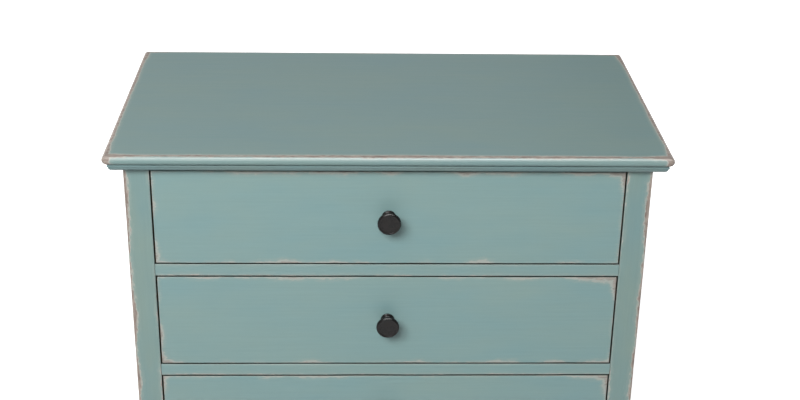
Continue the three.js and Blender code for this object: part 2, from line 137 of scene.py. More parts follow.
# Camera, measured from the case's front face and the cornice's lower edge
CAMERA_FROM_FRONT = Vector((-0.0517, -1.8645, 0.8066))
CAMERA_YAW = math.radians(2.069)
CAMERA_PITCH = math.radians(24.69)
CAMERA_ROLL = math.radians(-1.034)
FOCAL_WIDTHS = 1416.7 / 800  # focal length in image widths
SENSOR = 36.0  # mm

# Studio
AMBIENT = 0.17  # strength of the even light
LIGHT_AIM = Vector((0, 0, 0.6))  # the point that every lamp faces
FLOOR_HALF = 20.0
GLOW_FROM, GLOW_TO = 1.2, 4.0  # distances from the origin between which the floor's glow grows
NEAR_GLOW, FAR_GLOW = 0.6, 0.88


# ---- Boards ----

def seed_of(name):
    """A steady shift in metres for each piece's patterns, so that no two pieces look alike."""
    return sum((i + 3) * ord(c) for i, c in enumerate(name)) * 0.0137 % 9.0


def mesh_object(name, points, faces, maps, materials, face_material=None):
    """A smooth-shaded mesh, with maps = {title: one (u, v) per face corner} as its UV maps.
    face_material gives the material slot of a face."""
    mesh = bpy.data.meshes.new(name)
    mesh.from_pydata(points, [], faces)
    for title, corners in maps.items():
        layer = mesh.uv_layers.new(name=title)
        layer.data.foreach_set("uv", [value for corner in corners for value in corner])
    for material in materials:
        mesh.materials.append(material)
    for face in mesh.polygons:
        face.use_smooth = True
        if face_material:
            face.material_index = face_material(face)
    mesh.validate()
    piece = bpy.data.objects.new(name, mesh)
    bpy.context.scene.collection.objects.link(piece)
    flatten = piece.modifiers.new("flat faces stay flat", "WEIGHTED_NORMAL")
    flatten.mode = "FACE_AREA"
    flatten.keep_sharp = True
    return piece


def arris_radius(seed, corner, along, arris):
    """Rounding of one arris at a place along it: rubbed rounder here and there, and each arris
    in its own places."""
    rub = noise.noise(Vector((along * RUBS_PER_METRE, corner * 5.7, seed)))
    nick = noise.noise(Vector((along * NICKS_PER_METRE, corner * 3.1, seed + 4.0)))
    worn = min(1.0, max(0.0, rub + 0.3 * nick + 0.15))
    return arris * (1.0 + ARRIS_WEAR * worn)


def section_ring(spans, radii, inset, guards):
    """The points of one rounded rectangle, drawn in by inset, counter-clockwise in its own (a, b)
    plane, and where each point lies on the sides that it belongs to: {(side, point): (distance
    across the side, the side's width)}. Radii and guards belong to the four corners."""
    a0, a1, b0, b1 = spans
    corners = ((a0, b0, 1, 1), (a1, b0, -1, 1), (a1, b1, -1, -1), (a0, b1, 1, -1))
    lengths = (a1 - a0, b1 - b0, a1 - a0, b1 - b0)
    points = []
    for k, (a, b, to_a, to_b) in enumerate(corners):
        radius = max(radii[k] - 0.6 * inset, 0.2 * radii[k])  # tighter towards a board's end
        centre = (a + to_a * (inset + radius), b + to_b * (inset + radius))
        for t in range(ARC_STEPS + 1):
            angle = math.pi * (1.0 + k / 2 + t / ARC_STEPS / 2)
            points.append(
                (centre[0] + radius * math.cos(angle), centre[1] + radius * math.sin(angle))
            )
    spots = {}
    count = len(points)
    for k in range(4):
        after = (k + 1) % 4
        flat = lengths[k] - radii[k] - radii[after]
        width = flat + guards[k] + guards[after]
        half = ARC_STEPS // 2
        for t in range(half, ARC_STEPS + 1):
            back = (ARC_STEPS - t) / ARC_STEPS * radii[k] * math.pi / 2
            spots[k, k * (ARC_STEPS + 1) + t] = (guards[k] - back, width)
        for t in range(half + 1):
            on = t / ARC_STEPS * radii[after] * math.pi / 2
            spots[k, (after * (ARC_STEPS + 1) + t) % count] = (guards[k] + flat + on, width)
    return points, spots


def stations(start, end, spans):
    """Even stations along a straight board."""
    count = max(2, round((end - start) / STATION))
    return [(start + (end - start) * i / count, spans) for i in range(count + 1)]


def board(
    name,
    axis,
    places,
    materials,
    guards=(0, 0, 0, 0),
    end_guards=(0, 0),
    end_radius=ARRIS,
    arris=ARRIS,
    face_material=None,
):
    """A board along axis 0, 1 or 2, through places = [(distance, (a0, a1, b0, b1))], where a and b
    are the next two axes in turn. guards belong to its four arrises, and end_guards to its ends.
    Its UV maps are plank, the place on a face measured from the face's corner; size, the face's
    length and width; and grain, for patterns along the board."""
    seed = seed_of(name)
    a_axis, b_axis = (axis + 1) % 3, (axis + 2) % 3
    start, end = places[0][0], places[-1][0]
    straight = end - start - 2 * end_radius
    length = straight + sum(end_guards)
    rows = []  # (distance along, spans, inset, u of the plank map)
    for t in range(ARC_STEPS):
        angle = math.pi / 2 * (1 - t / ARC_STEPS)
        inset = end_radius * (1 - math.cos(angle))
        rows.append((start + end_radius * (1 - math.sin(angle)), places[0][1], inset,
                     end_guards[0] - end_radius * angle))
    margin = end_radius * 1.2  # stations nearer an end than this are left out
    inner = [p for p in places if start + margin < p[0] < end - margin]
    rows.append((start + end_radius, places[0][1], 0.0, end_guards[0]))
    for along, spans in inner:
        rows.append((along, spans, 0.0, end_guards[0] + along - start - end_radius))
    rows.append((end - end_radius, places[-1][1], 0.0, end_guards[0] + straight))
    for t in range(1, ARC_STEPS + 1):
        angle = math.pi / 2 * t / ARC_STEPS
        inset = end_radius * (1 - math.cos(angle))
        rows.append((end - end_radius * (1 - math.sin(angle)), places[-1][1], inset,
                     end_guards[0] + straight + end_radius * angle))

    points, rings = [], []
    for along, spans, inset, u in rows:
        radii = [arris_radius(seed, k, along, arris) for k in range(4)]
        ring, spots = section_ring(spans, radii, inset, guards)
        rings.append((spots, u))
        for a, b in ring:
            point = [0.0, 0.0, 0.0]
            point[axis], point[a_axis], point[b_axis] = along, a, b
            points.append(point)

    count = 4 * (ARC_STEPS + 1)
    faces = []
    maps = {"plank": [], "size": [], "grain": []}

    def map_corner(row, side, j):
        spots, u = rings[row]
        v, width = spots[side, j]
        maps["plank"].append((u, v))
        maps["size"].append((length, width))
        # Each side reads its own part of the paint's patterns.
        maps["grain"].append((u + seed, v + seed * 1.7 + 0.31 * side))

    for row in range(len(rings) - 1):
        for j in range(count):
            k, t = divmod(j, ARC_STEPS + 1)
            side = (k - 1) % 4 if t < ARC_STEPS // 2 else k
            after = (j + 1) % count
            faces.append((row * count + j, row * count + after,
                          (row + 1) * count + after, (row + 1) * count + j))
            for r, c in ((row, j), (row, after), (row + 1, after), (row + 1, j)):
                map_corner(r, side, c)
    last = (len(rings) - 1) * count
    for base, order in ((0, range(count - 1, -1, -1)), (last, range(count))):
        faces.append(tuple(base + j for j in order))
        spans = places[0][1] if base == 0 else places[-1][1]
        for j in order:
            point = points[base + j]
            u, v = point[a_axis] - spans[0], point[b_axis] - spans[2]
            maps["plank"].append((u, v))
            maps["size"].append((spans[1] - spans[0], spans[3] - spans[2]))
            maps["grain"].append((u * 3 + seed, v * 3 + seed))  # finer on an end
    return mesh_object(name, points, faces, maps, materials, face_material)


def swept(name, outline, place, steps, materials):
    """A strip of one closed outline [(reach, height)], where place(t, reach, height) gives a point
    of it for t from 0 to 1. Its paint isn't rubbed."""
    seed = seed_of(name)
    count = len(outline)
    points = [place(i / steps, *p) for i in range(steps + 1) for p in outline]
    run = [0.0]
    for p, q in zip(outline, outline[1:] + outline[:1]):
        run.append(run[-1] + math.dist(p, q))
    length = (Vector(place(1, 0, 0)) - Vector(place(0, 0, 0))).length
    faces, maps = [], {"plank": [], "size": [], "grain": []}

    def map_corner(i, v):
        u = length * i / steps
        maps["plank"].append((u + NO_WEAR, v + NO_WEAR))
        maps["size"].append((length + 2 * NO_WEAR, run[-1] + 2 * NO_WEAR))
        maps["grain"].append((u + seed, v + seed))

    for i in range(steps):
        for j in range(count):
            after = (j + 1) % count
            faces.append((i * count + j, i * count + after,
                          (i + 1) * count + after, (i + 1) * count + j))
            for row, v in ((i, run[j]), (i, run[j + 1]), (i + 1, run[j + 1]), (i + 1, run[j])):
                map_corner(row, v)
    for i, order in ((0, range(count - 1, -1, -1)), (steps, range(count))):
        faces.append(tuple(i * count + j for j in order))
        for j in order:
            map_corner(i, run[j])
    piece = mesh_object(name, points, faces, maps, materials)
    piece.data.set_sharp_from_angle(angle=SHARP_FOLD)
    return piece


def turned(name, profile, centre, sides, materials):
    """A piece turned about an axis through centre that points at the front, from a closed profile
    of (radius, distance forward), starting and ending on the axis."""
    points = [(centre[0], centre[1] - profile[0][1], centre[2])]
    for radius, out in profile[1:-1]:
        for i in range(sides):
            angle = 2 * math.pi * i / sides
            points.append((centre[0] + radius * math.cos(angle), centre[1] - out,
                           centre[2] + radius * math.sin(angle)))
    points.append((centre[0], centre[1] - profile[-1][1], centre[2]))
    rings = len(profile) - 2
    faces = []
    for i in range(sides):
        after = (i + 1) % sides
        faces.append((0, 1 + i, 1 + after))
        for ring in range(rings - 1):
            low, high = 1 + ring * sides, 1 + (ring + 1) * sides
            faces.append((low + i, high + i, high + after, low + after))
        high = 1 + (rings - 1) * sides
        faces.append((len(points) - 1, high + after, high + i))
    return mesh_object(name, points, faces, {}, materials)


def smooth_profile(knots, steps):
    """A Catmull-Rom curve through knots; a knot given twice stays a corner."""
    curve = []
    for i in range(len(knots) - 1):
        p0, p1, p2, p3 = (Vector(knots[max(0, min(len(knots) - 1, i + k))]) for k in (-1, 0, 1, 2))
        if p1 == p2:
            continue
        if p0 == p1:
            p0 = 2 * p1 - p2
        if p3 == p2:
            p3 = 2 * p2 - p1
        for s in range(steps):
            t = s / steps
            curve.append(tuple(
                0.5 * (2 * p1 + (p2 - p0) * t + (2 * p0 - 5 * p1 + 4 * p2 - p3) * t**2
                       + (3 * p1 - p0 - 3 * p2 + p3) * t**3)
            ))
    curve.append(tuple(knots[-1]))
    return curve


# ---- Materials ----

class Nodes:
    """Short calls for one material's node tree."""

    def __init__(self, name):
        self.material = bpy.data.materials.new(name)
        self.material.use_nodes = True
        self.tree = self.material.node_tree
        self.tree.nodes.clear()

    def add(self, kind, inputs=None, **settings):
        node = self.tree.nodes.new(kind)
        for key, value in settings.items():
            setattr(node, key, value)
        for key, value in (inputs or {}).items():
            if isinstance(value, bpy.types.NodeSocket):
                self.tree.links.new(value, node.inputs[key])
            else:
                node.inputs[key].default_value = value
        return node

    def math(self, operation, a, b=0.0):
        return self.add("ShaderNodeMath", {0: a, 1: b}, operation=operation).outputs[0]

    def uv(self, title):
        return self.add("ShaderNodeUVMap", uv_map=title).outputs[0]

    def place(self):
        """Where a point of the piece lies in the frame at rest, in metres."""
        return self.add("ShaderNodeTexCoord").outputs["Object"]

    def split(self, vector):
        return self.add("ShaderNodeSeparateXYZ", {0: vector}).outputs[:3]

    def stretch(self, vector, scale, shift=(0, 0, 0)):
        node = self.add("ShaderNodeVectorMath", {0: vector, 1: scale, 2: shift},
                        operation="MULTIPLY_ADD")
        return node.outputs[0]

    def noise(self, vector, scale, detail=2.0, shift=0.0):
        """Noise from 0 to 1 whose features are 1 / scale long on each axis. Another shift gives
        a pattern of its own."""
        place = self.stretch(vector, scale, (shift, shift * 0.7, shift * 1.3))
        return self.add("ShaderNodeTexNoise",
                        {"Vector": place, "Scale": 1.0, "Detail": detail}).outputs[0]

    def ramp(self, value, low, high, to_low=0.0, to_high=1.0):
        """From to_low where the value is low, evenly to to_high where it is high."""
        node = self.add("ShaderNodeMapRange",
                        {0: value, 1: low, 2: high, 3: to_low, 4: to_high}, clamp=True)
        return node.outputs[0]

    def mix(self, factor, a, b):
        """Colour a where the factor is 0, colour b where it is 1."""
        node = self.add("ShaderNodeMix", {0: factor, 6: a, 7: b}, data_type="RGBA")
        return node.outputs[2]

    def bump(self, height):
        """A normal for a surface that stands height metres proud."""
        return self.add("ShaderNodeBump",
                        {"Height": height, "Distance": 1.0, "Strength": 1.0}).outputs[0]

    def surface(self, **sockets):
        """Ends the tree with a Principled shader; a space in a socket's name is written as _."""
        shader = self.add("ShaderNodeBsdfPrincipled",
                          {key.replace("_", " "): value for key, value in sockets.items()})
        self.add("ShaderNodeOutputMaterial", {0: shader.outputs[0]})
        return self.material


def rgb(red, green, blue):
    """An sRGB colour from 0 to 255 as the linear colour that nodes take."""
    def linear(value):
        value /= 255
        return value / 12.92 if value <= 0.04045 else ((value + 0.055) / 1.055) ** 2.4
    return (linear(red), linear(green), linear(blue), 1.0)


def board_edges(nodes):
    """Distances from the nearest end and the nearest long arris of a board's face, in metres."""
    u, v, _ = nodes.split(nodes.uv("plank"))
    length, width, _ = nodes.split(nodes.uv("size"))
    from_end = nodes.math("MINIMUM", u, nodes.math("SUBTRACT", length, u))
    from_side = nodes.math("MINIMUM", v, nodes.math("SUBTRACT", width, v))
    return from_end, from_side


# The paint's patterns: features per metre along the grain, across it and, unused, in depth
CLOUDS = (4.5, 9.0, 1.0)
PATCHES = (13.0, 40.0, 1.0)
LONG_STROKES = (5.0, 330.0, 1.0)
SHORT_STROKES = (26.0, 750.0, 1.0)
RUBBED_STRETCHES = (17.0, 17.0, 1.0)
RAGGED_EDGES = (110.0, 330.0, 1.0)
WOOD_LINES = (20.0, 900.0, 1.0)
WOOD_SPOTS = (60.0, 220.0, 1.0)

# What shows where the paint is rubbed, from the outside inwards
THIN_PAINT = rgb(160, 175, 168)
PRIMER = rgb(192, 191, 182)
OLD_WOOD = (rgb(114, 96, 87), rgb(190, 175, 164))
THIN_BAND = (-5.0 * MM, 0.6 * MM)  # depths of rubbing between which the paint thins out
THIN_SHARE = 0.55
FEATHER = 1.4 * MM  # over which the primer, and then the wood, comes through
CORNER_ZONE = 40 * MM  # where a board's corners are rubbed more
STREAKS = 0.03  # how much lighter and darker the brush strokes are
BRUSH_RELIEF = 0.07 * MM
PAINT_FILM = 0.12 * MM
PRIMER_FILM = 0.1 * MM


def paint(name, cool, warm, rub, least=-0.6 * MM, ragged=2.0 * MM, corner_rub=3.0 * MM,
          wood_from=1.6 * MM, pale=0.85, bared=0.95, edges=board_edges, dullness=0.46):
    """Old brushed paint, cloudy between a cool and a warm shade, with strokes along the grain. It
    is rubbed along the edges, to a distance that wanders between least and rub: first thin and
    pale, then down to the primer by the share pale, then, from the depth wood_from, to the wood by
    the share bared."""
    nodes = Nodes(name)
    grain = nodes.uv("grain")
    cloud = nodes.noise(grain, CLOUDS, 3.0)
    patch = nodes.noise(grain, PATCHES, 2.0, shift=3.1)
    shade = nodes.math("ADD", cloud, nodes.math("MULTIPLY", patch, 0.45))
    colour = nodes.mix(nodes.ramp(shade, 0.5, 0.95), cool, warm)
    long_stroke = nodes.noise(grain, LONG_STROKES, 2.0, shift=5.3)
    short_stroke = nodes.noise(grain, SHORT_STROKES, 2.0, shift=8.9)
    stroke = nodes.math("ADD", long_stroke, nodes.math("MULTIPLY", short_stroke, 0.7))
    bright = nodes.ramp(stroke, 0.55, 1.15, 1.0 - STREAKS, 1.0 + STREAKS)
    tone = nodes.add("ShaderNodeHueSaturation", {"Value": bright, "Color": colour}).outputs[0]

    from_end, from_side = edges(nodes)
    distance = nodes.math("MINIMUM", from_end, from_side)
    from_corner = nodes.math("MAXIMUM", from_end, from_side)
    swell = nodes.noise(grain, RUBBED_STRETCHES, 2.0, shift=2.2)
    reach = nodes.ramp(swell, 0.38, 0.74, least, rub)
    corner_reach = nodes.ramp(from_corner, 0.0, CORNER_ZONE, corner_rub, 0.0)
    rough_edge = nodes.noise(grain, RAGGED_EDGES, 4.0, shift=7.7)
    uneven = nodes.ramp(rough_edge, 0.25, 0.75, -ragged, ragged)
    depth = nodes.math("SUBTRACT", nodes.math("ADD", reach, corner_reach), distance)
    depth = nodes.math("ADD", depth, uneven)

    thin = nodes.ramp(depth, *THIN_BAND, 0.0, THIN_SHARE)
    primer = nodes.ramp(depth, 0.0, FEATHER, 0.0, pale)
    bare = nodes.ramp(depth, wood_from, wood_from + FEATHER, 0.0, bared)
    wood_line = nodes.noise(grain, WOOD_LINES, 3.0, shift=1.4)
    wood_spot = nodes.noise(grain, WOOD_SPOTS, 2.0, shift=6.1)
    wood_tone = nodes.math("ADD", wood_line, wood_spot)
    old_wood = nodes.mix(nodes.ramp(wood_tone, 0.7, 1.3), *OLD_WOOD)
    worn = nodes.mix(thin, tone, THIN_PAINT)
    worn = nodes.mix(primer, worn, PRIMER)
    worn = nodes.mix(bare, worn, old_wood)

    dull = nodes.ramp(long_stroke, 0.3, 0.7, dullness - 0.05, dullness + 0.07)
    roughness = nodes.math("ADD", dull, nodes.math("MULTIPLY", primer, 0.18))
    brushed = nodes.math("MULTIPLY", stroke, BRUSH_RELIEF)
    off_paint = nodes.math("MULTIPLY", primer, -PAINT_FILM)
    off_primer = nodes.math("MULTIPLY", bare, -PRIMER_FILM)
    relief = nodes.math("ADD", nodes.math("ADD", brushed, off_paint), off_primer)
    return nodes.surface(Base_Color=worn, Roughness=roughness, Normal=nodes.bump(relief))


# The top's rubbed bands: how far over the nosing, past its upper shoulder, the middle of a band
# lies, and the band's half width. The front band lies inside the shoulder.
TOP_END_BAND = (4 * MM, 6.2 * MM)
TOP_FRONT_BAND = (-1.6 * MM, 4.5 * MM)
TOP_BACK_BAND = (0.0, 1.8 * MM)
TOP_CORNER_RUB = 4.5 * MM  # added to the end bands where they meet the front's nosing


def top_edges(nodes):
    """Distances from the rubbed bands at the top's ends and along its front and back. Its plank
    map starts at the shoulder, and is below zero over the nosing."""
    u, v, _ = nodes.split(nodes.uv("plank"))
    length, width, _ = nodes.split(nodes.uv("size"))

    def outside(band, from_shoulder):
        middle, half = band
        away = nodes.math("ABSOLUTE", nodes.math("ADD", from_shoulder, middle))
        return nodes.math("SUBTRACT", away, half)

    from_end = nodes.math("MINIMUM", u, nodes.math("SUBTRACT", length, u))
    at_corner = nodes.ramp(v, -TOP_END_BAND[0], 0.0, TOP_CORNER_RUB, 0.0)
    end = nodes.math("SUBTRACT", outside(TOP_END_BAND, from_end), at_corner)
    front = outside(TOP_FRONT_BAND, v)
    back = outside(TOP_BACK_BAND, nodes.math("SUBTRACT", width, v))
    return end, nodes.math("MINIMUM", front, back)


RING_SHARE = 0.65  # of the growth rings in bare wood's colour, and the rest is its fibres
FIBRE_RELIEF = 0.06 * MM


def wood(name, axis, light, dark, roughness=0.62, lines_in_figure=6.0):
    """Planed bare wood with its grain along axis 0, 1 or 2: growth rings that follow a slow
    figure, and fine fibres."""
    nodes = Nodes(name)
    place = nodes.place()
    figure_scale = [34.0, 34.0, 34.0]
    figure_scale[axis] = 2.2
    fibre_scale = [900.0, 900.0, 900.0]
    fibre_scale[axis] = 22.0
    figure = nodes.noise(place, figure_scale, 3.0)
    rings = nodes.math("PINGPONG", nodes.math("MULTIPLY", figure, lines_in_figure), 1.0)
    fibres = nodes.noise(place, fibre_scale, 2.0, shift=4.0)
    both = nodes.math("ADD", nodes.math("MULTIPLY", rings, RING_SHARE),
                      nodes.math("MULTIPLY", fibres, 1.0 - RING_SHARE))
    colour = nodes.mix(nodes.ramp(both, 0.15, 0.85), light, dark)
    relief = nodes.math("MULTIPLY", fibres, FIBRE_RELIEF)
    rough = nodes.ramp(both, 0.0, 1.0, roughness - 0.06, roughness + 0.08)
    return nodes.surface(Base_Color=colour, Roughness=rough, Normal=nodes.bump(relief))


def dark_metal():
    """Blackened cast metal, waxed, a little browner where hands have rubbed it."""
    nodes = Nodes("dark bronze")
    place = nodes.place()
    patch = nodes.noise(place, (90.0, 90.0, 90.0), 3.0)
    pits = nodes.noise(place, (1500.0, 1500.0, 1500.0), 2.0, shift=2.0)
    black, brown = (0.006, 0.006, 0.006, 1), (0.012, 0.009, 0.008, 1)
    colour = nodes.mix(nodes.ramp(patch, 0.35, 0.7), black, brown)
    rough = nodes.ramp(patch, 0.3, 0.7, 0.24, 0.32)
    relief = nodes.math("MULTIPLY", pits, 0.01 * MM)
    return nodes.surface(Base_Color=colour, Roughness=rough, Specular_IOR_Level=0.22,
                         Normal=nodes.bump(relief))


def plated_steel():
    """Zinc plate with a fine dull mottle."""
    nodes = Nodes("plated steel")
    patch = nodes.noise(nodes.place(), (400.0, 400.0, 400.0), 3.0)
    colour = nodes.mix(patch, (0.42, 0.41, 0.38, 1), (0.55, 0.54, 0.50, 1))
    rough = nodes.ramp(patch, 0.3, 0.7, 0.3, 0.45)
    return nodes.surface(Base_Color=colour, Roughness=rough, Metallic=1.0)


PAINTED_DEPTH = 11 * MM  # how far into the gaps the paint is whole, at most
PAINT_END = 12.5 * MM  # and where none of it is left
PAINT_END_RAGGED = 7 * MM  # how much less far it reaches in places


def shaded_gap_paint():
    """The faces inside the gaps round the drawers: old paint made dark as painted shade, for the
    shadow in the gaps, that stops a little way in, and then bare wood."""
    nodes = Nodes("paint with painted gap shade")
    place = nodes.place()
    patch = nodes.noise(place, (30.0, 30.0, 60.0), 4.0)
    scratch = nodes.noise(place, (60.0, 500.0, 500.0), 2.0, shift=3.0)
    # Painted shade: the paint in the gaps is made dark to stand in for their shadow.
    shade_colour = nodes.mix(nodes.ramp(patch, 0.35, 0.7), rgb(66, 78, 76), rgb(88, 92, 84))
    bare = nodes.mix(scratch, rgb(176, 148, 110), rgb(150, 120, 84))
    ragged = nodes.noise(place, (40.0, 3.0, 40.0), 3.0, shift=1.0)
    inward = nodes.math("SUBTRACT", nodes.split(place)[1], FRONT_Y)
    inward = nodes.math("ADD", inward, nodes.math("MULTIPLY", ragged, PAINT_END_RAGGED))
    colour = nodes.mix(nodes.ramp(inward, PAINTED_DEPTH, PAINT_END), shade_colour, bare)
    relief = nodes.math("MULTIPLY", scratch, 0.05 * MM)
    rough = nodes.ramp(patch, 0.3, 0.7, 0.7, 0.85)
    return nodes.surface(Base_Color=colour, Roughness=rough, Specular_IOR_Level=0.25,
                         Normal=nodes.bump(relief))


case_paint = paint("case paint", rgb(125, 158, 159), rgb(137, 161, 153), rub=8.0 * MM,
                   least=1.6 * MM, ragged=2.4 * MM)
rail_paint = paint("rail paint", rgb(129, 165, 167), rgb(140, 166, 161), rub=2.2 * MM,
                   ragged=1.6 * MM, wood_from=2.4 * MM)
# Painted shade: the cornice's paint is darker than the rest, standing in for the shadow under the
# top's overhang.
cornice_paint_with_shade = paint("cornice paint", rgb(111, 142, 145), rgb(120, 142, 139), rub=2.2 * MM)
front_paint = paint("drawer paint", rgb(131, 166, 167), rgb(139, 168, 164), rub=7.0 * MM,
                    least=-3.0 * MM, ragged=2.4 * MM, corner_rub=4.0 * MM, wood_from=3.6 * MM,
                    pale=0.6, bared=0.6)
top_paint = paint("top paint", rgb(127, 158, 159), rgb(133, 160, 156), rub=1.8 * MM,
                  ragged=1.5 * MM, corner_rub=4.0 * MM, edges=top_edges, dullness=0.42)
MAPLE = (rgb(214, 184, 140), rgb(186, 150, 104))
PINE = (rgb(206, 170, 118), rgb(170, 126, 76))
drawer_wood_x = wood("drawer wood, across", 0, *MAPLE)
drawer_wood_y = wood("drawer wood, back to front", 1, *MAPLE)
frame_wood_x = wood("frame wood, across", 0, *PINE)
frame_wood_y = wood("frame wood, back to front", 1, *PINE)
plywood_x = wood("plywood", 0, rgb(202, 174, 132), rgb(178, 146, 104), roughness=0.7,
                 lines_in_figure=22.0)
knob_metal = dark_metal()
screw_steel = plated_steel()
# Painted shade for the faces in the gaps round the drawers, with bare wood further in.
gap_shade = shaded_gap_paint()


# ---- Putting pieces in their places ----

def stands_for(piece, node):
    """piece rides on the body of the CAD node that it replaces, and the node is hidden."""
    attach(piece, BODY_OF[node])
    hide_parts(node)


def keep_cad(node, material, round_by=CAD_ARRIS):
    """A CAD node that shows as it is, with its edges eased."""
    piece = frame["nodes"][node]
    piece.data.materials.clear()
    piece.data.materials.append(material)
    ease = piece.modifiers.new("eased edges", "BEVEL")
    ease.width = round_by
    ease.segments = 2
    ease.limit_method = "ANGLE"
    ease.angle_limit = EASED_FOLD


def make_posts():
    for end in ("front", "rear"):
        for side in SIDES:
            node = f"post_{end}_{side}"
            low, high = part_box(node)
            places = stations(low.z, high.z, (low.x, high.x, low.y, high.y))
            inward = 1 if side == "left" else -1
            guards = (0, POST_GUARD, POST_GUARD, 0)
            if side == "right":
                guards = (POST_GUARD, 0, 0, POST_GUARD)

            # The post faces in the gap beside the drawers take slot 1, the dark painted shade of
            # the gaps.
            def in_the_gap(face):
                beside_drawers = end == "front" and face.normal.x * inward > SQUARE_ON
                return int(beside_drawers and face.center.z > APRON_TOP)

            piece = board(f"{node}_look", 2, places, [case_paint, gap_shade], guards, (0, NO_WEAR),
                          face_material=in_the_gap)
            stands_for(piece, node)


def make_front_rails():
    # The rail faces in the gaps above and below the drawers take slot 1, the dark painted shade of
    # the gaps.
    def in_the_gap(face):
        return int(abs(face.normal.z) > SQUARE_ON)

    for name in ("top", "1", "2", "3"):
        node = f"front_rail_{name}"
        low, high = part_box(node)
        places = stations(*ACROSS, (low.y, high.y, low.z, high.z))
        piece = board(f"{node}_look", 0, places, [rail_paint, gap_shade], RAIL_GUARDS, JOINED_ENDS,
                      RAIL_JOINT_ARRIS, FRONT_ARRIS, in_the_gap)
        stands_for(piece, node)


def make_side_frames():
    for side in SIDES:
        node = f"side_rail_top_{side}"
        rail_low, rail_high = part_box(node)
        places = stations(*FRONT_TO_REAR, (rail_low.z, rail_high.z, rail_low.x, rail_high.x))
        piece = board(f"{node}_look", 1, places, [rail_paint], end_guards=JOINED_ENDS,
                      end_radius=JOINT_ARRIS)
        stands_for(piece, node)

        node = f"side_panel_{side}"
        low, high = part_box(node)
        apron_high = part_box(f"side_apron_{side}")[1]
        places = stations(apron_high.z + SEAM, rail_low.z - SEAM,
                          (low.x, high.x, *FRONT_TO_REAR))
        piece = board(f"{node}_look", 2, places, [front_paint], (NO_WEAR,) * 4, JOINED_ENDS,
                      JOINT_ARRIS)
        stands_for(piece, node)


def bracket_stations(start, end, top, low, across, upright_first):
    """Stations of an apron: its lower edge is deep at both ends and rises by an ogee, a cubic
    curve whose inner control points lie at 1/2 and 1/4 of its length."""
    curve = []
    for i in range(APRON_STEPS + 1):
        t = i / APRON_STEPS
        along = (3 * (1 - t) ** 2 * t * APRON_CURVE / 2 + 3 * (1 - t) * t**2 * APRON_CURVE / 4
                 + t**3 * APRON_CURVE)
        rise = (3 * (1 - t) * t**2 + t**3) * APRON_BRACKET
        curve.append((APRON_FLAT + along, low + rise))
    lower = [(0.0, low), (APRON_FLAT / 2, low)] + curve
    bracket = APRON_FLAT + APRON_CURVE
    straight = end - start - 2 * bracket
    count = round(straight / STATION)
    flat = [(bracket + straight / count * i, low + APRON_BRACKET) for i in range(1, count)]
    mirrored = [(end - start - along, z) for along, z in reversed(lower)]
    found = []
    for along, z in lower + flat + mirrored:
        spans = (z, top, *across) if upright_first else (*across, z, top)
        found.append((start + along, spans))
    return found


def make_aprons():
    low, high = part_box("apron_front")
    places = bracket_stations(*ACROSS, high.z, low.z, (low.y, high.y), upright_first=False)
    piece = board("apron_front_look", 0, places, [case_paint], APRON_GUARDS, JOINED_ENDS,
                  JOINT_ARRIS)
    stands_for(piece, "apron_front")
    for side in SIDES:
        node = f"side_apron_{side}"
        low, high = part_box(node)
        places = bracket_stations(*FRONT_TO_REAR, high.z, low.z, (low.x, high.x),
                                  upright_first=True)
        piece = board(f"{node}_look", 1, places, [case_paint], end_guards=JOINED_ENDS,
                      end_radius=JOINT_ARRIS)
        stands_for(piece, node)


